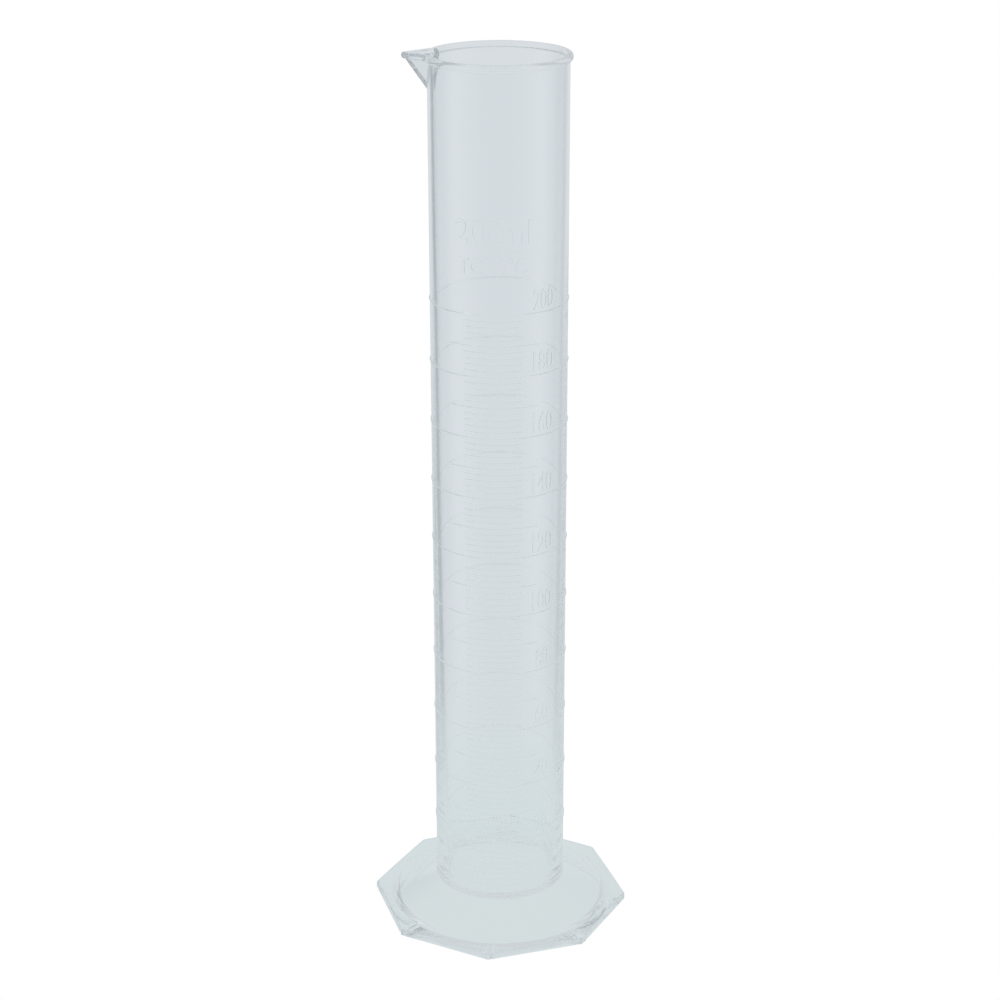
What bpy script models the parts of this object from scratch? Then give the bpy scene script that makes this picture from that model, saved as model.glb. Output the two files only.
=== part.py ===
"""A clear plastic measuring cylinder for 200 ml of liquid, graduated every 2 ml.

The real object is one injection moulding. Here it is built as the regions that the moulding is
made of: the tube wall, its floor, the rim, the pouring spout, the foot's conical skirt and the
foot's octagonal rim, with each raised ring and each long graduation as a piece of its own.

Frame: metres, +Z up, origin at the centre of the foot's underside. The spout points along -X and
the scale faces -Y. One corner of the octagonal foot is on each half of the X and Y axes.
"""

import math

import bmesh
import bpy
from mathutils import Matrix, Vector

MM = 0.001
CUBIC_METRES_PER_ML = 1e-6
GAP = 0.3 * MM  # left between neighbouring pieces

# Tube: the bore's radius and draft fix how far apart the graduations are.
BORE_RADIUS = 18.2 * MM  # at the level of 0 ml
BORE_DRAFT = 0.0016  # how much the bore's radius grows for each unit of height
WALL = 2.0 * MM  # at the foot
TUBE_RADIUS = BORE_RADIUS + WALL
TUBE_DRAFT = 0.1 * MM  # the outside grows by this from the foot to the rim
TUBE_FACETS = 72

# Heights above the surface that the foot stands on
HEIGHT = 271.2 * MM
TUBE_BOTTOM = 7.6 * MM
FLOOR_TOP = 10.8 * MM
FLOOR_THICKNESS = 2.0 * MM
FLOOR_FILLET = 1.3 * MM
FLOOR_FILLET_STEPS = 3
FLOOR_LAND = 0.3 * MM

# Scale: ml of the graduations, and the sizes of the raised lines
CAPACITY = 200
RING_EVERY = 20
LONG_MARK_EVERY = 10
SCALE_ZERO = 11.0 * MM
LINE_HEIGHT = 0.4 * MM
LINE_RELIEF = 0.25 * MM
LONG_MARK_HALF_ANGLE = math.radians(40)
SCALE_AZIMUTH = math.radians(-90)
LINE_FACETS = 36

# Rim: a bead outside the mouth, a narrow flat land on top, and a lip that rounds off its inside
RIM_RADIUS = 21.18 * MM
BEAD_RADIUS = 1.0 * MM
BEAD_SHOULDER = 0.5 * MM  # how far in the bead's upper half rounds off
BEAD_STEPS = 3
RIM_HEIGHT = 2 * BEAD_RADIUS
LIP_WIDTH = 0.9 * MM
LIP_HEIGHT = 1.9 * MM
LIP_STEPS = 4
MOUTH_SPACE_DEPTH = 8.0 * MM
TUBE_SPACE_DEPTH = 20.0 * MM

# Spout: the bead runs out to a nose, and two flat sides under it meet in a keel
SPOUT_AZIMUTH = math.pi
SPOUT_REACH = 27.7 * MM
SPOUT_ROOT_ANGLE = math.radians(20)  # where the bead leaves the mouth's circle
SPOUT_SECTOR_ANGLE = math.radians(24)  # what the spout takes of the rim, on each side
SPOUT_SPREAD = math.radians(41)  # between the spout's middle and each of its sides, seen from above
SPOUT_KEEL_SLOPE = 0.712  # how far the keel runs in for each unit that it falls
SPOUT_KEEL_END = 19.3 * MM
SPOUT_CHANNEL_INSET = 2.0 * MM  # from the keel to the channel's own keel, measured level
SPOUT_CHANNEL_FLARE = 0.6 * MM  # how much further out the channel's keel reaches at its top
SPOUT_CHANNEL_BACK = 14.2 * MM
SPOUT_BEAK_BACK = 17.4 * MM
SPOUT_BEAK_TOP = 0.7 * RIM_HEIGHT  # below the rim's top
SPOUT_BEAD_FACETS = 24
SPOUT_BEAD_RINGS = 6

# Foot: a conical skirt inside an octagonal rim, hollow underneath
FOOT_CORNER_RADIUS = 40.25 * MM
FOOT_SIDES = 8
SKIRT_TOP = 9.68 * MM
SKIRT_FALL = 0.4215  # drop of the cone for each unit of radius
SKIRT_SKIN = 2.1 * MM  # measured upright
HOLLOW_RADIUS = 32.3 * MM
SKIRT_EDGE_RADIUS = 34.0 * MM
BRIM_INNER_RADIUS = 34.9 * MM
BRIM_INNER_HEIGHT = 2.6 * MM
BRIM_CORNER_HEIGHT = 2.25 * MM

# Material: clear styrene plastic with a faint cool tint
PLASTIC_COLOUR = (0.78, 0.82, 0.85, 1.0)
PLASTIC_ROUGHNESS = 0.08
PLASTIC_IOR = 1.57
SMOOTH_BELOW = math.radians(30)


def clear_scene():
    for old in list(bpy.data.objects):
        bpy.data.objects.remove(old)


def new_collection(name):
    collection = bpy.data.collections.new(name)
    bpy.context.scene.collection.children.link(collection)
    return collection


def clear_plastic(name):
    material = bpy.data.materials.new(name)
    material.use_nodes = True
    shader = material.node_tree.nodes["Principled BSDF"]
    shader.inputs["Base Color"].default_value = PLASTIC_COLOUR
    shader.inputs["Roughness"].default_value = PLASTIC_ROUGHNESS
    shader.inputs["Metallic"].default_value = 0.0
    shader.inputs["IOR"].default_value = PLASTIC_IOR
    shader.inputs["Transmission Weight"].default_value = 1.0
    return material


def new_object(name, mesh, collection):
    obj = bpy.data.objects.new(name, mesh)
    collection.objects.link(obj)
    return obj


def turned(name, profile, collection, facets=TUBE_FACETS, on_axis=False):
    """A solid of revolution. The profile of (radius, height) points runs down its outer side; it
    is a closed outline, or with on_axis an open one that starts and ends on the axis."""
    outline = bmesh.new()
    points = [outline.verts.new((radius, 0, height)) for radius, height in profile]
    for first, second in zip(points, points[1:]):
        outline.edges.new((first, second))
    if not on_axis:
        outline.edges.new((points[-1], points[0]))
    mesh = bpy.data.meshes.new(name)
    outline.to_mesh(mesh)
    outline.free()
    obj = new_object(name, mesh, collection)
    screw = obj.modifiers.new("turn", "SCREW")
    screw.axis = "Z"
    screw.angle = 2 * math.pi
    screw.steps = facets
    screw.render_steps = facets
    screw.use_merge_vertices = True
    screw.merge_threshold = 0.01 * MM
    return obj


def hull(name, points, collection):
    """The convex solid around the points."""
    body = bmesh.new()
    for point in points:
        body.verts.new(point)
    bmesh.ops.convex_hull(body, input=body.verts)
    mesh = bpy.data.meshes.new(name)
    body.to_mesh(mesh)
    body.free()
    return new_object(name, mesh, collection)


def combine(obj, other, operation):
    boolean = obj.modifiers.new(f"{operation.lower()}_{other.name}", "BOOLEAN")
    boolean.operation = operation
    boolean.solver = "EXACT"
    boolean.object = other


def make_helper(obj):
    obj.hide_render = True
    obj.display_type = "WIRE"


def settle(obj):
    """Turn an object's modifiers into its mesh, smooth on the round sides, and give it its material."""
    graph = bpy.context.evaluated_depsgraph_get()
    mesh = bpy.data.meshes.new_from_object(obj.evaluated_get(graph))
    obj.modifiers.clear()
    obj.data = mesh
    mesh.name = obj.name
    mesh.shade_smooth()
    mesh.set_sharp_from_angle(angle=SMOOTH_BELOW)
    mesh.materials.clear()
    mesh.materials.append(clear_plastic(f"{obj.name}_plastic"))


def tube_radius_at(height):
    """The outside radius of the tube, which the draft widens towards the rim."""
    return TUBE_RADIUS + TUBE_DRAFT * (height - TUBE_BOTTOM) / (HEIGHT - TUBE_BOTTOM)


def bore_radius_at(height):
    return BORE_RADIUS + BORE_DRAFT * (height - SCALE_ZERO)


def level(volume):
    """Height of the liquid's surface when the slightly conical bore holds a volume in ml."""
    content = volume * CUBIC_METRES_PER_ML
    radius = (BORE_RADIUS**3 + 3 * BORE_DRAFT * content / math.pi) ** (1 / 3)
    return SCALE_ZERO + (radius - BORE_RADIUS) / BORE_DRAFT


def skirt_height(radius):
    """Height of the foot's conical top at a radius."""
    return SKIRT_TOP - SKIRT_FALL * (radius - TUBE_RADIUS)


def spout_point(out, aside, height):
    """A point given by how far it is out along the spout, aside from the spout's middle, and up."""
    return (
        out * math.cos(SPOUT_AZIMUTH) - aside * math.sin(SPOUT_AZIMUTH),
        out * math.sin(SPOUT_AZIMUTH) + aside * math.cos(SPOUT_AZIMUTH),
        height,
    )


def arc(centre, width, height, start, end, steps):
    """Points (radius, height) on an arc of an ellipse, by angle in degrees from the outward side."""
    points = []
    for step in range(steps + 1):
        angle = math.radians(start + (end - start) * step / steps)
        points.append((centre[0] + width * math.cos(angle), centre[1] + height * math.sin(angle)))
    return points


def spout_section(apex, back, height):
    """A level section of the spout: its apex, and the points where its sides reach the back."""
    aside = (apex - back) * math.tan(SPOUT_SPREAD)
    return [
        spout_point(apex, 0, height),
        spout_point(back, -aside, height),
        spout_point(back, aside, height),
    ]


def make_spout_channel(cutters):
    """The space inside the spout, which opens into the bore."""
    under = HEIGHT - RIM_HEIGHT
    apex = SPOUT_REACH - BEAD_RADIUS - SPOUT_CHANNEL_INSET
    back = SPOUT_CHANNEL_BACK
    points = spout_section(apex, back, under)
    points += spout_section(apex + SPOUT_CHANNEL_FLARE, back, HEIGHT + MM)
    points.append(spout_point(back, 0, under - (apex - back) / SPOUT_KEEL_SLOPE))
    channel = hull("spout_channel", points, cutters)
    make_helper(channel)
    return channel


def make_sector(name, half_angle, cutters):
    """A wedge of the mouth, as wide on each side of the spout's middle as the angle."""
    reach = 2 * RIM_RADIUS
    points = []
    for height in (HEIGHT - 2 * RIM_HEIGHT, HEIGHT + MM):
        points.append(spout_point(0, 0, height))
        for aside in (-half_angle, half_angle):
            points.append(spout_point(reach * math.cos(aside), reach * math.sin(aside), height))
    sector = hull(name, points, cutters)
    make_helper(sector)
    return sector


def lip_profile(start, end):
    """The rounded inside edge of the mouth, between two angles."""
    radius = bore_radius_at(HEIGHT - LIP_HEIGHT)
    centre = (radius + LIP_WIDTH, HEIGHT - LIP_HEIGHT)
    return arc(centre, LIP_WIDTH, LIP_HEIGHT, start, end, LIP_STEPS)


def make_mouth_space(cutters):
    """The space inside the mouth: the bore, and the round lip above it."""
    over = HEIGHT + MM
    bottom = HEIGHT - MOUTH_SPACE_DEPTH
    lip = lip_profile(90, 180)
    profile = [(0, over), (lip[0][0], over)] + lip
    profile += [(bore_radius_at(bottom), bottom), (0, bottom)]
    space = turned("mouth_space", profile, cutters, on_axis=True)
    make_helper(space)
    return space


def make_tube_space(cutters):
    """The space that the tube takes under the rim, with a gap round it."""
    top = HEIGHT - RIM_HEIGHT
    radius = tube_radius_at(HEIGHT) + GAP
    bottom = HEIGHT - TUBE_SPACE_DEPTH
    profile = [(0, top), (radius, top), (radius, bottom), (0, bottom)]
    space = turned("tube_space", profile, cutters, on_axis=True)
    make_helper(space)
    return space


def make_tube(parts, channel):
    """The plain wall of the tube, notched where the spout's channel leaves it."""
    top = HEIGHT - RIM_HEIGHT - GAP
    profile = [
        (tube_radius_at(top), top),
        (tube_radius_at(TUBE_BOTTOM), TUBE_BOTTOM),
        (bore_radius_at(TUBE_BOTTOM), TUBE_BOTTOM),
        (bore_radius_at(top), top),
    ]
    tube = turned("tube", profile, parts)
    combine(tube, channel, "DIFFERENCE")
    settle(tube)


def make_tube_floor(parts):
    """The closed bottom of the bore, with a fillet up to the wall."""
    edge = BORE_RADIUS - GAP
    corner = edge - FLOOR_LAND - FLOOR_FILLET
    profile = [(0, FLOOR_TOP)]
    for step in range(FLOOR_FILLET_STEPS + 1):
        turn = math.pi / 2 * step / FLOOR_FILLET_STEPS
        radius = corner + FLOOR_FILLET * math.sin(turn)
        profile.append((radius, FLOOR_TOP + FLOOR_FILLET * (1 - math.cos(turn))))
    profile.append((edge, FLOOR_TOP + FLOOR_FILLET))
    profile.append((edge, FLOOR_TOP - FLOOR_THICKNESS))
    profile.append((0, FLOOR_TOP - FLOOR_THICKNESS))
    settle(turned("tube_floor", profile, parts, on_axis=True))


def turned_rim(name, collection):
    """The whole ring of the mouth's edge: the bead outside, the land on top, and the lip inside."""
    middle = HEIGHT - BEAD_RADIUS
    shoulder = (RIM_RADIUS - BEAD_SHOULDER, middle)
    belly = (RIM_RADIUS - BEAD_RADIUS, middle)
    profile = arc(shoulder, BEAD_SHOULDER, BEAD_RADIUS, 90, 0, BEAD_STEPS)
    profile += arc(belly, BEAD_RADIUS, BEAD_RADIUS, 0, -90, BEAD_STEPS)[1:]
    profile.append((bore_radius_at(HEIGHT - RIM_HEIGHT), HEIGHT - RIM_HEIGHT))
    profile += lip_profile(180, 90)
    return turned(name, profile, collection)


def make_rim(parts, cutters):
    """The mouth's edge, left open where the spout is."""
    rim = turned_rim("rim", parts)
    half_angle = SPOUT_SECTOR_ANGLE + GAP / RIM_RADIUS
    combine(rim, make_sector("rim_opening", half_angle, cutters), "DIFFERENCE")
    settle(rim)


def make_spout_bead(cutters):
    """The bead from both sides of the mouth out to the round nose, with the space between filled."""
    root = RIM_RADIUS - BEAD_RADIUS
    height = HEIGHT - BEAD_RADIUS
    centres = [spout_point(SPOUT_REACH - BEAD_RADIUS, 0, height)]
    for aside in (-SPOUT_ROOT_ANGLE, SPOUT_ROOT_ANGLE):
        centres.append(spout_point(root * math.cos(aside), root * math.sin(aside), height))
    ball = bmesh.new()
    bmesh.ops.create_uvsphere(
        ball, u_segments=SPOUT_BEAD_FACETS, v_segments=SPOUT_BEAD_RINGS, radius=BEAD_RADIUS
    )
    points = [Vector(centre) + vertex.co for centre in centres for vertex in ball.verts]
    ball.free()
    bead = hull("spout_bead", points, cutters)
    make_helper(bead)
    return bead


def make_beak(cutters):
    """The spout's two flat sides under the bead, which meet in a keel and reach back into the wall."""
    apex = SPOUT_REACH - BEAD_RADIUS
    under = HEIGHT - RIM_HEIGHT
    points = spout_section(apex, SPOUT_BEAK_BACK, HEIGHT - SPOUT_BEAK_TOP)
    points.append(spout_point(apex, 0, under))
    points.append(spout_point(SPOUT_KEEL_END, 0, under - (apex - SPOUT_KEEL_END) / SPOUT_KEEL_SLOPE))
    beak = hull("beak", points, cutters)
    make_helper(beak)
    return beak


def make_spout(parts, cutters, channel):
    """The spout with its share of the rim, hollowed by its channel, by the mouth and by the bore."""
    spout = turned_rim("spout", parts)
    combine(spout, make_sector("spout_share", SPOUT_SECTOR_ANGLE, cutters), "INTERSECT")
    combine(spout, make_spout_bead(cutters), "UNION")
    combine(spout, make_beak(cutters), "UNION")
    combine(spout, make_tube_space(cutters), "DIFFERENCE")
    combine(spout, make_mouth_space(cutters), "DIFFERENCE")
    combine(spout, channel, "DIFFERENCE")
    settle(spout)


def make_foot_skirt(parts):
    """The cone that carries the tube, open underneath."""
    inner = tube_radius_at(TUBE_BOTTOM) + GAP
    outer = HOLLOW_RADIUS - GAP
    profile = [
        (inner, skirt_height(inner)),
        (outer, skirt_height(outer)),
        (outer, skirt_height(outer) - SKIRT_SKIN),
        (inner, skirt_height(inner) - SKIRT_SKIN),
    ]
    settle(turned("foot_skirt", profile, parts))


def make_foot_rim(parts, cutters):
    """The octagonal edge that the cylinder stands on: a turned ring held inside an octagonal prism."""
    beyond = FOOT_CORNER_RADIUS + MM
    profile = [
        (HOLLOW_RADIUS, skirt_height(HOLLOW_RADIUS)),
        (SKIRT_EDGE_RADIUS, skirt_height(SKIRT_EDGE_RADIUS)),
        (BRIM_INNER_RADIUS, BRIM_INNER_HEIGHT),
        (beyond, BRIM_CORNER_HEIGHT),
        (beyond, 0),
        (HOLLOW_RADIUS, 0),
    ]
    ring = turned("foot_rim", profile, parts)
    body = bmesh.new()
    bmesh.ops.create_cone(
        body,
        cap_ends=True,
        segments=FOOT_SIDES,
        radius1=FOOT_CORNER_RADIUS,
        radius2=FOOT_CORNER_RADIUS,
        depth=4 * SKIRT_TOP,
    )
    first_corner = max(body.verts, key=lambda corner: corner.co.x)
    turn = math.atan2(first_corner.co.y, first_corner.co.x)
    bmesh.ops.rotate(body, verts=body.verts, matrix=Matrix.Rotation(-turn, 3, "Z"))
    mesh = bpy.data.meshes.new("foot_octagon")
    body.to_mesh(mesh)
    body.free()
    octagon = new_object("foot_octagon", mesh, cutters)
    make_helper(octagon)
    combine(ring, octagon, "INTERSECT")
    settle(ring)


def make_ring(volume, parts):
    """A raised line all round the tube at a volume in ml."""
    middle = level(volume)
    inner = tube_radius_at(middle) + GAP
    profile = [
        (inner + LINE_RELIEF, middle),
        (inner, middle - LINE_HEIGHT / 2),
        (inner, middle + LINE_HEIGHT / 2),
    ]
    settle(turned(f"ring_{volume:03d}_ml", profile, parts, facets=LINE_FACETS))


def make_long_mark(volume, parts):
    """A raised line across the front of the tube at a volume in ml."""
    middle = level(volume)
    inner = tube_radius_at(middle) + GAP
    spans = round(2 * LONG_MARK_HALF_ANGLE / (2 * math.pi / LINE_FACETS))
    angles = [
        SCALE_AZIMUTH - LONG_MARK_HALF_ANGLE + 2 * LONG_MARK_HALF_ANGLE * step / spans
        for step in range(spans + 1)
    ]
    outline = [(inner + LINE_RELIEF, angle) for angle in angles]
    outline += [(inner, angle) for angle in reversed(angles)]
    curve = bpy.data.curves.new("long_mark", "CURVE")
    curve.dimensions = "2D"
    curve.fill_mode = "BOTH"
    curve.extrude = LINE_HEIGHT / 2
    spline = curve.splines.new("POLY")
    spline.points.add(len(outline) - 1)
    for point, (radius, angle) in zip(spline.points, outline):
        point.co = (radius * math.cos(angle), radius * math.sin(angle), 0, 1)
    spline.use_cyclic_u = True
    guide = new_object("long_mark_outline", curve, parts)
    graph = bpy.context.evaluated_depsgraph_get()
    mesh = bpy.data.meshes.new_from_object(guide.evaluated_get(graph))
    bpy.data.objects.remove(guide)
    mark = new_object(f"mark_{volume:03d}_ml", mesh, parts)
    mark.location.z = middle
    settle(mark)


def build():
    clear_scene()
    parts = new_collection("graduated_cylinder")
    cutters = new_collection("cutters")
    channel = make_spout_channel(cutters)
    make_tube(parts, channel)
    make_tube_floor(parts)
    make_rim(parts, cutters)
    make_spout(parts, cutters, channel)
    make_foot_skirt(parts)
    make_foot_rim(parts, cutters)
    for volume in range(RING_EVERY, CAPACITY + 1, RING_EVERY):
        make_ring(volume, parts)
    for volume in range(LONG_MARK_EVERY, CAPACITY, 2 * LONG_MARK_EVERY):
        make_long_mark(volume, parts)


build()
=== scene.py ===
"""Looks of the clear plastic measuring cylinder: one moulding with its raised scale, on a pale floor.

The moulding is made as one closed mesh, because light has to cross it as it crosses one piece of
plastic. It stands for the CAD's regions of the same moulding. Lengths are metres in the CAD's frame:
+Z up, origin under the middle of the foot, spout towards -X, scale towards -Y.
"""

import math

import bmesh
import bpy
from mathutils import Matrix, Vector


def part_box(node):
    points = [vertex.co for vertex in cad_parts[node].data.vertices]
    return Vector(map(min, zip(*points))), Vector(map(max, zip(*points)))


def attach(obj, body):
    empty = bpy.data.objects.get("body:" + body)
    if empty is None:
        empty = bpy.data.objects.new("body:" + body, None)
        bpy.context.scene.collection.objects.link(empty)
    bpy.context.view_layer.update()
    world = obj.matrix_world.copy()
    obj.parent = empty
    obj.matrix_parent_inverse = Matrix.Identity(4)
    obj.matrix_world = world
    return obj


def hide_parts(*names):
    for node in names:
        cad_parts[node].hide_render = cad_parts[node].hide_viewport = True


MM = 0.001
CUBIC_METRES_PER_ML = 1e-6
FRONT = math.radians(-90)  # the azimuth that the scale faces
SPOUT_AZIMUTH = math.pi
TURN_STEPS = 256
OVERSHOOT = 1.0 * MM  # how far a space that is cut out reaches past the surface that it opens
SHARP_FROM = math.radians(28)

# Tube and bore
TUBE_RADIUS = 20.2 * MM  # outside, at the foot
WALL = 2.0 * MM  # at the foot
BORE_RADIUS = TUBE_RADIUS - WALL  # at the level of 0 ml
BORE_DRAFT = 0.0016  # how much the bore's radius grows for each unit of height
FLOOR_TOP = 10.8 * MM
FLOOR_THICKNESS = 2.0 * MM
FLOOR_FILLET = 1.55 * MM

# Rim: a bead outside the mouth, a narrow flat land on top, and a lip that rounds off its inside
BEAD_RADIUS = 1.0 * MM
BEAD_SHOULDER = 0.5 * MM  # how far in the bead's upper half rounds off
UNDER_BEAD = ((0.04 * MM, 0.12 * MM), (0.0, 0.4 * MM))  # out from the tube, and down from the bead
LIP_WIDTH = 0.9 * MM
LIP_HEIGHT = 2.2 * MM

# Spout: the bead runs out round it, and a sharp keel falls from its tip to the tube
SPOUT_ROOT_ANGLE = math.radians(20)
SPOUT_SPREAD = math.radians(41)  # between the spout's middle and each of its sides, seen from above
SPOUT_KEEL_SLOPE = 0.712  # how far the keel runs in for each unit that it falls
SPOUT_KEEL_END = 19.3 * MM
SPOUT_SIDE_OFFSET = 2.0 * MM  # from the keel to the channel's, measured level
SPOUT_BEAD_DROP = 0.01 * MM  # keeps its surface off the rim's, which it would share
BEAK_BACK = 17.4 * MM
BEAK_TOP = 1.4 * BEAD_RADIUS  # below the rim's top
CHANNEL_BACK = 14.0 * MM
CHANNEL_FLARE = 0.6 * MM
CHANNEL_ROUND = 0.5 * MM
KEEL_ROUND = 0.3 * MM
ROUND_STEPS = 4
ROUND_FROM = math.radians(25)
BALL_SEGMENTS = 40
BALL_RINGS = 24

# Foot
FOOT_SIDES = 8
FOOT_CORNER_ROUND = 1.0 * MM
FOOT_CORNER_COLUMNS = (-0.62, -0.42, -0.21, 0.21, 0.42, 0.62)  # degrees from each corner
FOOT_TOP_ROUND = 0.45 * MM
FOOT_BOTTOM_ROUND = 0.3 * MM
FOOT_DRAFT = 0.05 * MM  # how much wider the foot is at the bottom of its sides than at the top
SKIRT_TOP = 9.68 * MM
SKIRT_FALL = 0.4215  # drop of the cone for each unit of radius
SKIRT_SKIN = 2.1 * MM  # measured upright
SKIRT_FILLET = 0.9 * MM
SKIRT_EDGE_RADIUS = 34.0 * MM
SKIRT_EDGE = ((-0.2 * MM, 0.0), (0.0, 0.06 * MM))  # out from the edge, and down from the cone
SKIRT_SIDE_RUN = 0.15 * MM
SKIRT_SIDE_DROP = 0.25 * MM
BRIM_INNER_RADIUS = 34.9 * MM
BRIM_INNER_HEIGHT = 2.6 * MM
BRIM_FALL = 0.062
BRIM_EDGE = ((-0.15 * MM, 0.1 * MM), (0.1 * MM, 0.0))  # out from the brim's inner edge, and up

# Hollow under the foot
HOLLOW_RADIUS = 32.2 * MM
HOLLOW_DRAFT = 0.25 * MM
ROOF_INSET = 2.9 * MM  # from the tube's outside to the flat roof's edge
ROOF_ROUND_RUN = 0.8 * MM
ROOF_ROUND_DROP = 0.1 * MM
ROOF_FOOT_INSET = 1.0 * MM
HOLLOW_CORNER_RUN = 0.5 * MM
HOLLOW_CORNER_DROP = 0.4 * MM

# Scale
CAPACITY = 200
RING_EVERY = 20
LONG_MARK_EVERY = 10
MARK_EVERY = 2
SCALE_ZERO = 11.0 * MM
LINE_WIDTH = 0.55 * MM
LINE_RELIEF = 0.25 * MM
# A line's section from top to bottom: shares of its relief, and of half its width
LINE_SECTION = ((0.0, 1.0), (0.72, 0.62), (1.0, 0.2), (1.0, -0.2), (0.72, -0.62), (0.0, -1.0))
LINE_ROOT = 0.15 * MM  # how far lines and characters reach into the wall
LINE_FOOT = -0.02 * MM  # where the section of a line meets the wall
LINE_STEP = math.radians(1.6)
LINE_END = 0.35  # share of the relief at a line's ends
SHORT_HALF_ANGLE = math.radians(24.7)
LONG_HALF_ANGLE = math.radians(39)
LETTER_RELIEF = 0.15 * MM
LETTER_BEVEL = 0.05 * MM
FONT_SIZE = 10.0 * MM
SAME_POINT = 0.001 * MM
NUMERAL_AZIMUTH = math.radians(44.75)
NUMERAL_HEIGHT = 6.2 * MM
NUMERAL_WIDTH = 7.4 * MM  # of three characters
NUMERAL_RISE = 1.0 * MM
# Name, words, height above the floor, width, and height of the characters
WORDS = (
    ("capacity", "200ml", 221.0 * MM, 22.9 * MM, 6.8 * MM),
    ("reference", "TC 20°C", 212.1 * MM, 20.5 * MM, 4.9 * MM),
)

# Plastic
PLASTIC_COLOUR = (0.985, 0.992, 0.996, 1.0)
PLASTIC_IOR = 1.55
PLASTIC_ROUGHNESS = 0.02
LAND_ROUGHNESS = 0.2
LAND_DEPTH = 0.1 * MM  # how far below the rim's top the land's roughness has faded
RIPPLE_SCALE = 400
RIPPLE_DETAIL = 2
RIPPLE_HEIGHT = 0.01 * MM
DEPTH_COLOUR = (0.0, 0.08, 0.14, 1.0)
DEPTH_DENSITY = 0.7  # how fast light is lost along its way through the plastic, for each metre

# Camera
CAMERA_LENS = 82.96
CAMERA_SENSOR = 36
CAMERA_TURN = math.radians(5.35)
CAMERA_DISTANCE = 650.36 * MM
CAMERA_HEIGHT = 387.37 * MM
CAMERA_TILT = math.radians(21.112)
CAMERA_PAN = math.radians(0.0165)
CAMERA_ROLL = math.radians(-0.0924)
BOUNCES = 1024  # light that is caught in clear plastic turns black when its bounces run out
DIFFUSE_BOUNCES = 4

# Surroundings: tones by azimuth in degrees from the middle of the backdrop, + towards the left
ROUND_TONES = (
    (-180, 0.58),
    (-150, 0.62),
    (-100, 0.78),
    (-75, 0.60),
    (-60, 0.50),
    (-40, 0.58),
    (-24, 0.70),
    (28, 0.70),
    (36, 0.42),
    (50, 0.42),
    (60, 0.52),
    (75, 0.60),
    (100, 0.86),
    (140, 0.64),
    (180, 0.58),
)
ROUND_TINT = (0.0, 0.037, 0.065)  # added to a tone, as red, green and blue
OVERHEAD_TONE = 0.62
OVERHEAD_START = 0.2  # the sine of the elevation
OVERHEAD_FULL = 0.75
NEAR_GLOW = (0.668, 0.739, 0.747, 1.0)  # the floor's glow close to the object, seen only through the plastic: painted light
NEAR_REACH = 0.04
ROUND_START = 0.16  # how far out the floor's glow has the tones of what stands round it
FLOOR_REACH = 6
FLOOR_DROP = 0.2 * MM
WHITE = (1.0, 1.0, 1.0, 1.0)


def set_up_render_look():
    scene = bpy.context.scene
    scene.view_settings.view_transform = "Standard"
    scene.view_settings.look = "None"
    scene.view_settings.exposure = 0
    scene.view_settings.gamma = 1
    scene.cycles.max_bounces = BOUNCES
    scene.cycles.transmission_bounces = BOUNCES
    scene.cycles.glossy_bounces = BOUNCES
    scene.cycles.diffuse_bounces = DIFFUSE_BOUNCES


def make_camera():
    data = bpy.data.cameras.new("camera")
    data.lens = CAMERA_LENS
    data.sensor_width = CAMERA_SENSOR
    camera = bpy.data.objects.new("camera", data)
    bpy.context.scene.collection.objects.link(camera)
    place = Matrix.Rotation(CAMERA_TURN, 4, "Z") @ Vector((0, -CAMERA_DISTANCE, CAMERA_HEIGHT))
    aim = (
        Matrix.Rotation(CAMERA_TURN - CAMERA_PAN, 4, "Z")
        @ Matrix.Rotation(math.radians(90) - CAMERA_TILT, 4, "X")
        @ Matrix.Rotation(CAMERA_ROLL, 4, "Z")
    )
    camera.matrix_world = Matrix.Translation(place) @ aim
    bpy.context.scene.camera = camera


def new_object(name, mesh):
    obj = bpy.data.objects.new(name, mesh)
    bpy.context.scene.collection.objects.link(obj)
    return obj


def azimuths():
    """The angles of the columns of every turned surface: even steps, and more at the foot's corners."""
    angles = [2 * math.pi * step / TURN_STEPS for step in range(TURN_STEPS)]
    for corner in range(FOOT_SIDES):
        middle = 2 * math.pi * corner / FOOT_SIDES
        for offset in FOOT_CORNER_COLUMNS:
            angles.append((middle + math.radians(offset)) % (2 * math.pi))
    return sorted(angles)


AZIMUTHS = azimuths()


def circle(radius, height):
    return [Vector((radius * math.cos(a), radius * math.sin(a), height)) for a in AZIMUTHS]


def octagon_radius(azimuth, apothem, corner_round):
    """Distance from the axis to a regular octagon with rounded corners; a corner is at azimuth 0."""
    sector = 2 * math.pi / FOOT_SIDES
    from_corner = abs((azimuth + sector / 2) % sector - sector / 2)
    half = sector / 2
    straight = apothem / math.cos(half - from_corner)
    centre = (apothem - corner_round) / math.cos(half)
    reach = centre * math.sin(from_corner)
    if reach >= corner_round:
        return straight
    rounded = centre * math.cos(from_corner) + math.sqrt(corner_round**2 - reach**2)
    return min(straight, rounded)


def octagon(apothem, corner_round, height):
    """A row on a rounded octagon. height is a number or a function of the radius."""
    row = []
    for angle in AZIMUTHS:
        radius = octagon_radius(angle, apothem, corner_round)
        z = height(radius) if callable(height) else height
        row.append(Vector((radius * math.cos(angle), radius * math.sin(angle), z)))
    return row


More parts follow.
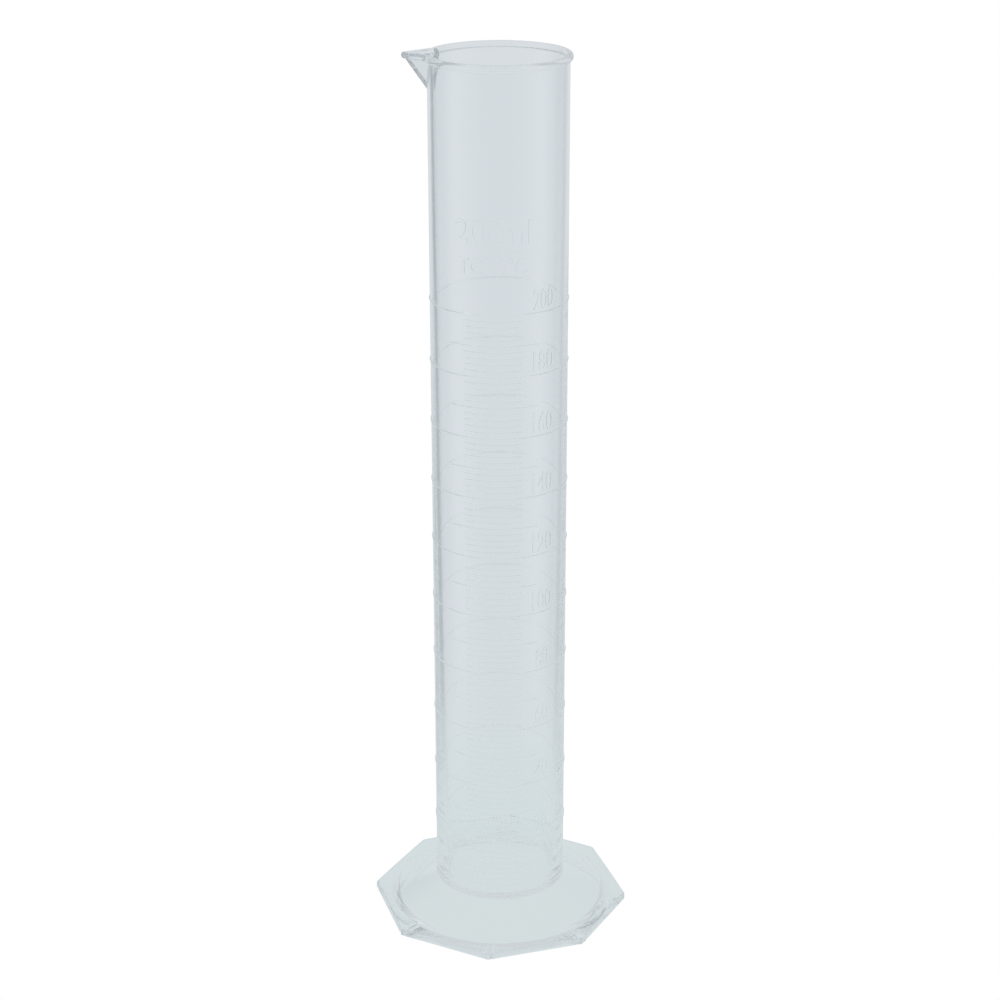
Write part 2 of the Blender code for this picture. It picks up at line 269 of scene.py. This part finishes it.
def loft(name, rows):
    """A closed mesh through rows of points, from a pole down to a pole. The rows run down the outside."""
    body = bmesh.new()
    made = [[body.verts.new(point) for point in row] for row in rows]
    for upper, lower in zip(made, made[1:]):
        count = max(len(upper), len(lower))
        for column in range(count):
            after = (column + 1) % count
            if len(upper) == 1:
                body.faces.new((upper[0], lower[column], lower[after]))
            elif len(lower) == 1:
                body.faces.new((upper[column], lower[0], upper[after]))
            else:
                body.faces.new((upper[column], lower[column], lower[after], upper[after]))
    mesh = bpy.data.meshes.new(name)
    body.to_mesh(mesh)
    body.free()
    return new_object(name, mesh)


def arc(centre, radius, start, end, steps, upright=None):
    """Points (radius, height) on an arc, by angle from the +radius direction.

    With upright, it is the arc of an ellipse that reaches this far upwards.
    """
    upright = upright or radius
    points = []
    for step in range(steps + 1):
        angle = math.radians(start + (end - start) * step / steps)
        points.append((centre[0] + radius * math.cos(angle), centre[1] + upright * math.sin(angle)))
    return points


def bore_radius_at(height):
    return BORE_RADIUS + BORE_DRAFT * (height - SCALE_ZERO)


def level(volume):
    """Height of the liquid's surface when the slightly conical bore holds a volume in ml."""
    content = volume * CUBIC_METRES_PER_ML
    radius = (BORE_RADIUS**3 + 3 * BORE_DRAFT * content / math.pi) ** (1 / 3)
    return SCALE_ZERO + (radius - BORE_RADIUS) / BORE_DRAFT


def line_profile(middle):
    """The section of a raised line, from top to bottom, as (relief, height)."""
    half = LINE_WIDTH / 2
    return [(relief * LINE_RELIEF, middle + rise * half) for relief, rise in LINE_SECTION]


def skirt_height(radius):
    return SKIRT_TOP - SKIRT_FALL * (radius - TUBE_RADIUS)


def tube_radius_at(height):
    return TUBE_RADIUS + TUBE_DRAFT * height / HEIGHT


def outer_rows():
    """The outside, from the middle of the mouth down the tube and the foot to the floor."""
    bead = (RIM_RADIUS - BEAD_RADIUS, HEIGHT - BEAD_RADIUS)
    shoulder = (RIM_RADIUS - BEAD_SHOULDER, HEIGHT - BEAD_RADIUS)
    profile = arc(shoulder, BEAD_SHOULDER, start=90, end=10, steps=8, upright=BEAD_RADIUS)
    profile += arc(bead, BEAD_RADIUS, start=0, end=-75, steps=6)
    under = HEIGHT - 2 * BEAD_RADIUS
    profile += [(tube_radius_at(under) + out, under - down) for out, down in UNDER_BEAD]
    for volume in range(CAPACITY, 0, -RING_EVERY):
        for relief, height in line_profile(level(volume)):
            profile.append((tube_radius_at(height) + relief, height))
    turn = 90 - math.degrees(math.atan(SKIRT_FALL))
    fillet_height = SKIRT_TOP + SKIRT_FILLET * math.tan(math.radians(turn / 2))
    fillet = (TUBE_RADIUS + SKIRT_FILLET, fillet_height)
    profile += arc(fillet, SKIRT_FILLET, start=180, end=180 + turn, steps=5)
    for out, down in SKIRT_EDGE:
        radius = SKIRT_EDGE_RADIUS + out
        profile.append((radius, skirt_height(radius) - down))
    side_top = skirt_height(SKIRT_EDGE_RADIUS) - SKIRT_SIDE_DROP
    profile.append((SKIRT_EDGE_RADIUS + SKIRT_SIDE_RUN, side_top))
    profile += [(BRIM_INNER_RADIUS + out, BRIM_INNER_HEIGHT + up) for out, up in BRIM_EDGE]
    rows = [[Vector((0, 0, HEIGHT))]]
    rows += [circle(radius, height) for radius, height in profile]
    rows += foot_edge_rows()
    rows.append(circle(HOLLOW_RADIUS + HOLLOW_DRAFT, 0))
    rows.append([Vector((0, 0, 0))])
    return rows


def brim_height(radius):
    return BRIM_INNER_HEIGHT - BRIM_FALL * (radius - BRIM_INNER_RADIUS)


def foot_edge_rows():
    """The octagon's rounded upper edge, its sides, and its rounded lower edge."""
    rows = []
    for turn in (90, 67, 45, 22, 0):
        angle = math.radians(turn)
        inset = FOOT_TOP_ROUND * (1 - math.cos(angle))
        drop = FOOT_TOP_ROUND * (1 - math.sin(angle))
        apothem = APOTHEM - inset
        corner = FOOT_CORNER_ROUND - inset
        rows.append(octagon(apothem, corner, lambda radius, drop=drop: brim_height(radius) - drop))
    for turn in (0, 45, 90):
        angle = math.radians(turn)
        inset = FOOT_BOTTOM_ROUND * (1 - math.cos(angle)) - FOOT_DRAFT
        height = FOOT_BOTTOM_ROUND * (1 - math.sin(angle))
        rows.append(octagon(APOTHEM - inset, FOOT_CORNER_ROUND - inset, height))
    return rows


def bore_rows():
    """The space inside the tube, from above the mouth down to the floor."""
    top = HEIGHT + OVERSHOOT
    lip = (bore_radius_at(HEIGHT - LIP_HEIGHT) + LIP_WIDTH, HEIGHT - LIP_HEIGHT)
    floor_corner = (BORE_RADIUS - FLOOR_FILLET, FLOOR_TOP + FLOOR_FILLET)
    profile = [(lip[0] + OVERSHOOT, top)]
    profile += arc(lip, LIP_WIDTH, start=90, end=180, steps=12, upright=LIP_HEIGHT)
    profile += arc(floor_corner, FLOOR_FILLET, start=0, end=-90, steps=6)
    rows = [[Vector((0, 0, top))]]
    rows += [circle(radius, height) for radius, height in profile]
    rows.append([Vector((0, 0, FLOOR_TOP))])
    return rows


def hollow_rows():
    """The space under the foot."""
    roof = FLOOR_TOP - FLOOR_THICKNESS
    roof_radius = TUBE_RADIUS - ROOF_INSET
    roof_foot = TUBE_RADIUS - ROOF_FOOT_INSET
    corner = HOLLOW_RADIUS - HOLLOW_CORNER_RUN
    profile = [
        (roof_radius, roof),
        (roof_radius + ROOF_ROUND_RUN, roof - ROOF_ROUND_DROP),
        (roof_foot, skirt_height(roof_foot) - SKIRT_SKIN),
        (corner, skirt_height(corner) - SKIRT_SKIN),
        (HOLLOW_RADIUS, skirt_height(HOLLOW_RADIUS) - SKIRT_SKIN - HOLLOW_CORNER_DROP),
        (HOLLOW_RADIUS + HOLLOW_DRAFT, 0),
        (HOLLOW_RADIUS + 2 * HOLLOW_DRAFT, -OVERSHOOT),
    ]
    rows = [[Vector((0, 0, roof))]]
    rows += [circle(radius, height) for radius, height in profile]
    rows.append([Vector((0, 0, -OVERSHOOT))])
    return rows


def spout_point(out, aside, height):
    """A point by its distances from the axis along the spout's middle, and to one side of it."""
    return Vector(
        (
            out * math.cos(SPOUT_AZIMUTH) - aside * math.sin(SPOUT_AZIMUTH),
            out * math.sin(SPOUT_AZIMUTH) + aside * math.cos(SPOUT_AZIMUTH),
            height,
        )
    )


def hull(name, points):
    """The convex hull of points."""
    body = bmesh.new()
    for point in points:
        body.verts.new(point)
    bmesh.ops.convex_hull(body, input=body.verts)
    bmesh.ops.dissolve_limit(body, angle_limit=0.01, verts=body.verts, edges=body.edges)
    bmesh.ops.recalc_face_normals(body, faces=body.faces)
    mesh = bpy.data.meshes.new(name)
    body.to_mesh(mesh)
    body.free()
    return new_object(name, mesh)


def spout_section(apex, back, height):
    """A level section of the spout: its apex, and the points where its sides reach a distance out."""
    aside = (apex - back) * math.tan(SPOUT_SPREAD)
    return [spout_point(apex, 0, height)] + [spout_point(back, side * aside, height) for side in (-1, 1)]


def rounded(obj, width):
    """An object with its sharp edges rounded."""
    bevel = obj.modifiers.new("round", "BEVEL")
    bevel.width = width
    bevel.segments = ROUND_STEPS
    bevel.limit_method = "ANGLE"
    bevel.angle_limit = ROUND_FROM
    return obj


def ball(centre, radius):
    """Points on a ball."""
    body = bmesh.new()
    bmesh.ops.create_uvsphere(
        body, u_segments=BALL_SEGMENTS, v_segments=BALL_RINGS, radius=radius
    )
    points = [centre + vertex.co for vertex in body.verts]
    body.free()
    return points


def make_spout_bead():
    """The rim's bead, run out from the mouth to a round nose."""
    height = HEIGHT - BEAD_RADIUS - SPOUT_BEAD_DROP
    root = RIM_RADIUS - BEAD_RADIUS
    points = ball(spout_point(SPOUT_REACH - BEAD_RADIUS, 0, height), BEAD_RADIUS)
    for side in (-1, 1):
        angle = side * SPOUT_ROOT_ANGLE
        place = spout_point(root * math.cos(angle), root * math.sin(angle), height)
        points += ball(place, BEAD_RADIUS)
    return hull("spout_bead", points)


def make_beak():
    """The two flat sides under the bead, which meet in a keel and reach back into the wall."""
    apex = SPOUT_REACH - BEAD_RADIUS
    under = HEIGHT - 2 * BEAD_RADIUS
    low = under - (apex - SPOUT_KEEL_END) / SPOUT_KEEL_SLOPE
    points = spout_section(apex, BEAK_BACK, HEIGHT - BEAK_TOP)
    points.append(spout_point(SPOUT_KEEL_END, 0, low))
    points.append(spout_point(apex, 0, under))
    return rounded(hull("beak", points), KEEL_ROUND)


def make_channel():
    """The space inside the spout, which opens into the bore."""
    apex = SPOUT_REACH - BEAD_RADIUS - SPOUT_SIDE_OFFSET
    under = HEIGHT - 2 * BEAD_RADIUS
    low = under - (apex - CHANNEL_BACK) / SPOUT_KEEL_SLOPE
    points = spout_section(apex, CHANNEL_BACK, under)
    points += spout_section(apex + CHANNEL_FLARE, CHANNEL_BACK, HEIGHT + OVERSHOOT)
    points.append(spout_point(CHANNEL_BACK, 0, low))
    return rounded(hull("channel", points), CHANNEL_ROUND)


def bend_on_tube(mesh, azimuth, base):
    """Wrap a mesh drawn flat (x across, y up, z out from its root in the wall) onto the tube."""
    for vertex in mesh.vertices:
        across, up, relief = vertex.co
        height = base + up
        radius = tube_radius_at(height) + relief - LINE_ROOT
        angle = azimuth + across / tube_radius_at(height)
        vertex.co = (radius * math.cos(angle), radius * math.sin(angle), height)


def arc_mark(volume, half_angle):
    """One raised arc of the scale, as a closed mesh with its root in the wall."""
    middle = level(volume)
    steps = round(half_angle * 2 / LINE_STEP)
    section = line_profile(middle)
    body = bmesh.new()
    rings = []
    for step in range(steps + 1):
        angle = FRONT - half_angle + 2 * half_angle * step / steps
        fade = min(1.0, LINE_END + (1 - LINE_END) * min(step, steps - step))
        ring = []
        for relief, height in section:
            radius = tube_radius_at(height) + (relief * fade if relief else LINE_FOOT)
            ring.append((radius, height))
        ring.append((tube_radius_at(middle) - LINE_ROOT, section[-1][1]))
        ring.append((tube_radius_at(middle) - LINE_ROOT, section[0][1]))
        rings.append(
            [body.verts.new((r * math.cos(angle), r * math.sin(angle), h)) for r, h in ring]
        )
    for first, second in zip(rings, rings[1:]):
        count = len(first)
        for index in range(count):
            after = (index + 1) % count
            body.faces.new((first[index], first[after], second[after], second[index]))
    body.faces.new(list(reversed(rings[0])))
    body.faces.new(rings[-1])
    bmesh.ops.recalc_face_normals(body, faces=body.faces)
    mesh = bpy.data.meshes.new("arc_mark")
    body.to_mesh(mesh)
    body.free()
    return new_object(f"arc_{volume}", mesh)


def lettering(name, words, azimuth, base, width, height):
    """Raised characters wrapped on the tube, fitted to a width and a height."""
    font = bpy.data.curves.new(name, "FONT")
    font.body = words
    font.size = FONT_SIZE
    font.align_x = "CENTER"
    font.resolution_u = 4
    font.extrude = (LETTER_RELIEF + LINE_ROOT) / 2 - LETTER_BEVEL
    font.bevel_depth = LETTER_BEVEL
    font.bevel_resolution = 1
    obj = new_object(name, font)
    graph = bpy.context.evaluated_depsgraph_get()
    mesh = bpy.data.meshes.new_from_object(obj.evaluated_get(graph))
    bpy.data.objects.remove(obj)
    xs = [v.co.x for v in mesh.vertices]
    ys = [v.co.y for v in mesh.vertices]
    zs = [v.co.z for v in mesh.vertices]
    x_scale = width / (max(xs) - min(xs))
    y_scale = height / (max(ys) - min(ys))
    middle = (max(xs) + min(xs)) / 2
    low = min(ys)
    back = min(zs)
    for vertex in mesh.vertices:
        vertex.co.x = (vertex.co.x - middle) * x_scale
        vertex.co.y = (vertex.co.y - low) * y_scale
        vertex.co.z = vertex.co.z - back
    bend_on_tube(mesh, azimuth, base)
    body = bmesh.new()
    body.from_mesh(mesh)
    bmesh.ops.remove_doubles(body, verts=body.verts, dist=SAME_POINT)
    bmesh.ops.recalc_face_normals(body, faces=body.faces)
    body.to_mesh(mesh)
    body.free()
    return new_object(name, mesh)


def baked(obj):
    """An object with its modifiers applied."""
    graph = bpy.context.evaluated_depsgraph_get()
    mesh = bpy.data.meshes.new_from_object(obj.evaluated_get(graph))
    obj.modifiers.clear()
    obj.data = mesh
    return obj


def joined(name, objects):
    """One object with the meshes of several, which are removed."""
    body = bmesh.new()
    for obj in objects:
        body.from_mesh(obj.data)
        bpy.data.objects.remove(obj)
    mesh = bpy.data.meshes.new(name)
    body.to_mesh(mesh)
    body.free()
    return new_object(name, mesh)


def combine(obj, other, operation):
    """Add the other object to this one, or cut it out. The other is removed."""
    boolean = obj.modifiers.new(operation.lower(), "BOOLEAN")
    boolean.operation = operation
    boolean.solver = "MANIFOLD"
    boolean.object = other
    baked(obj)
    bpy.data.objects.remove(other)


def make_scale():
    """The raised arcs, numerals and words. The rings are in the tube's outside."""
    marks = []
    for volume in range(MARK_EVERY, CAPACITY, MARK_EVERY):
        if volume % RING_EVERY == 0:
            continue
        is_long = volume % LONG_MARK_EVERY == 0
        marks.append(arc_mark(volume, LONG_HALF_ANGLE if is_long else SHORT_HALF_ANGLE))
    for volume in range(RING_EVERY, CAPACITY + 1, RING_EVERY):
        words = str(volume)
        marks.append(
            lettering(
                f"numeral_{volume}",
                words,
                FRONT + NUMERAL_AZIMUTH,
                level(volume) + NUMERAL_RISE,
                NUMERAL_WIDTH * len(words) / 3,
                NUMERAL_HEIGHT,
            )
        )
    for name, words, base, width, height in WORDS:
        marks.append(lettering(name, words, FRONT, base, width, height))
    return marks


def clear_plastic():
    """Clear styrene with a faint cool tint. A polished mould leaves its surface a little uneven."""
    material = bpy.data.materials.new("clear_plastic")
    material.use_nodes = True
    nodes = material.node_tree.nodes
    links = material.node_tree.links
    shader = nodes["Principled BSDF"]
    shader.inputs["Base Color"].default_value = PLASTIC_COLOUR
    shader.inputs["IOR"].default_value = PLASTIC_IOR
    shader.inputs["Transmission Weight"].default_value = 1.0
    place = nodes.new("ShaderNodeTexCoord").outputs["Object"]
    parts = nodes.new("ShaderNodeSeparateXYZ")
    links.new(place, parts.inputs["Vector"])
    land = nodes.new("ShaderNodeMapRange")
    land.inputs["From Min"].default_value = HEIGHT - LAND_DEPTH
    land.inputs["From Max"].default_value = HEIGHT
    land.inputs["To Min"].default_value = PLASTIC_ROUGHNESS
    land.inputs["To Max"].default_value = LAND_ROUGHNESS
    links.new(parts.outputs["Z"], land.inputs["Value"])
    links.new(land.outputs["Result"], shader.inputs["Roughness"])
    ripple = nodes.new("ShaderNodeTexNoise")
    ripple.inputs["Scale"].default_value = RIPPLE_SCALE
    ripple.inputs["Detail"].default_value = RIPPLE_DETAIL
    links.new(place, ripple.inputs["Vector"])
    bump = nodes.new("ShaderNodeBump")
    bump.inputs["Strength"].default_value = 1.0
    bump.inputs["Distance"].default_value = RIPPLE_HEIGHT
    links.new(ripple.outputs["Fac"], bump.inputs["Height"])
    links.new(bump.outputs["Normal"], shader.inputs["Normal"])
    depth = nodes.new("ShaderNodeVolumeAbsorption")
    depth.inputs["Color"].default_value = DEPTH_COLOUR
    depth.inputs["Density"].default_value = DEPTH_DENSITY
    links.new(depth.outputs["Volume"], nodes["Material Output"].inputs["Volume"])
    return material


def make_moulding():
    """The whole moulding as one closed mesh."""
    outer = loft("moulding", outer_rows())
    beak = baked(make_beak())
    channel = baked(make_channel())
    combine(outer, beak, "UNION")
    combine(outer, make_spout_bead(), "UNION")
    combine(outer, joined("scale", make_scale()), "UNION")
    combine(outer, loft("bore", bore_rows()), "DIFFERENCE")
    combine(outer, loft("hollow", hollow_rows()), "DIFFERENCE")
    combine(outer, channel, "DIFFERENCE")
    outer.data.shade_smooth()
    outer.data.set_sharp_from_angle(angle=SHARP_FROM)
    outer.data.materials.clear()
    outer.data.materials.append(clear_plastic())
    return outer


def seen_directly(nodes):
    """1 for what the camera sees with nothing in front of it, and 0 for what it sees through plastic."""
    return nodes.new("ShaderNodeLightPath").outputs["Is Camera Ray"]


def tinted(tone):
    return tuple(tone + tint for tint in ROUND_TINT) + (1,)


def round_tone(nodes, links, place):
    """The colour of the surroundings by azimuth, for a place or a direction seen from the object."""
    turned = nodes.new("ShaderNodeMapping")
    turned.inputs["Rotation"].default_value = (0, 0, -CAMERA_TURN - math.radians(90))
    links.new(place, turned.inputs["Vector"])
    round_about = nodes.new("ShaderNodeTexGradient")
    round_about.gradient_type = "RADIAL"
    links.new(turned.outputs["Vector"], round_about.inputs["Vector"])
    ramp = nodes.new("ShaderNodeValToRGB")
    links.new(round_about.outputs["Fac"], ramp.inputs["Fac"])
    stops = ramp.color_ramp.elements
    for azimuth, _ in ROUND_TONES[1:-1]:
        stops.new(0.5 + azimuth / 360)
    for stop, (azimuth, tone) in zip(stops, ROUND_TONES):
        stop.position = 0.5 + azimuth / 360
        stop.color = tinted(tone)
    return ramp.outputs["Color"]


def mixed(nodes, links, factor, first, second):
    """A colour between two. Each is a colour or a node's output."""
    mix = nodes.new("ShaderNodeMix")
    mix.data_type = "RGBA"
    links.new(factor, mix.inputs["Factor"])
    for value, name in ((first, "A"), (second, "B")):
        if isinstance(value, tuple):
            mix.inputs[name].default_value = value
        else:
            links.new(value, mix.inputs[name])
    return mix.outputs["Result"]


def smooth_step(nodes, links, value, low, high):
    """0 below low, 1 above high, and a smooth curve between them."""
    step = nodes.new("ShaderNodeMapRange")
    step.interpolation_type = "SMOOTHSTEP"
    step.inputs["From Min"].default_value = low
    step.inputs["From Max"].default_value = high
    links.new(value, step.inputs["Value"])
    return step.outputs["Result"]


def make_floor():
    """A pale floor that glows. The camera sees it evenly white. Through the plastic its glow is painted
    light and shade: one colour close to the object, and further out the tones of what stands there.
    """
    mesh = bpy.data.meshes.new("floor")
    body = bmesh.new()
    bmesh.ops.create_grid(body, x_segments=1, y_segments=1, size=FLOOR_REACH)
    body.to_mesh(mesh)
    body.free()
    floor = new_object("floor", mesh)
    floor.location.z = -FLOOR_DROP
    material = bpy.data.materials.new("floor")
    material.use_nodes = True
    nodes = material.node_tree.nodes
    links = material.node_tree.links
    place = nodes.new("ShaderNodeTexCoord").outputs["Object"]
    distance = nodes.new("ShaderNodeVectorMath")
    distance.operation = "LENGTH"
    links.new(place, distance.inputs[0])
    away = smooth_step(nodes, links, distance.outputs["Value"], NEAR_REACH, ROUND_START)
    tone = mixed(nodes, links, away, NEAR_GLOW, round_tone(nodes, links, place))
    colour = mixed(nodes, links, seen_directly(nodes), tone, WHITE)
    # Painted light and shade: the floor's glow lights the plastic, and is darker in some directions.
    glow = nodes.new("ShaderNodeEmission")
    links.new(colour, glow.inputs["Color"])
    links.new(glow.outputs["Emission"], nodes["Material Output"].inputs["Surface"])
    mesh.materials.append(material)


def make_world():
    """Soft light: low down the tones of what stands round the object, and overhead one tone."""
    world = bpy.data.worlds.new("studio")
    bpy.context.scene.world = world
    world.use_nodes = True
    nodes = world.node_tree.nodes
    links = world.node_tree.links
    place = nodes.new("ShaderNodeTexCoord").outputs["Generated"]
    parts = nodes.new("ShaderNodeSeparateXYZ")
    links.new(place, parts.inputs["Vector"])
    up = smooth_step(nodes, links, parts.outputs["Z"], OVERHEAD_START, OVERHEAD_FULL)
    tone = mixed(nodes, links, up, round_tone(nodes, links, place), tinted(OVERHEAD_TONE))
    colour = mixed(nodes, links, seen_directly(nodes), tone, WHITE)
    links.new(colour, nodes["Background"].inputs["Color"])


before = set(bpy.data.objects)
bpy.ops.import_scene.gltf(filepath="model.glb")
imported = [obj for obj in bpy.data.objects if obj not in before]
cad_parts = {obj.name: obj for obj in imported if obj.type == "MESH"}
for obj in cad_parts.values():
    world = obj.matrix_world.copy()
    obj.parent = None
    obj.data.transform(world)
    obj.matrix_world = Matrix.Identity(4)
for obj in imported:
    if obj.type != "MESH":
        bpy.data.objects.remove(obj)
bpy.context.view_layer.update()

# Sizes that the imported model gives
RIM_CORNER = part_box("rim")[1]
HEIGHT = RIM_CORNER.z
RIM_RADIUS = RIM_CORNER.x
TUBE_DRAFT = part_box("tube")[1].x - TUBE_RADIUS
SPOUT_REACH = -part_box("spout")[0].x
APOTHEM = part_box("foot_rim")[1].x * math.cos(math.pi / FOOT_SIDES)

set_up_render_look()
make_camera()
moulding = make_moulding()
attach(moulding, "root")
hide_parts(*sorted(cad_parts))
make_floor()
make_world()
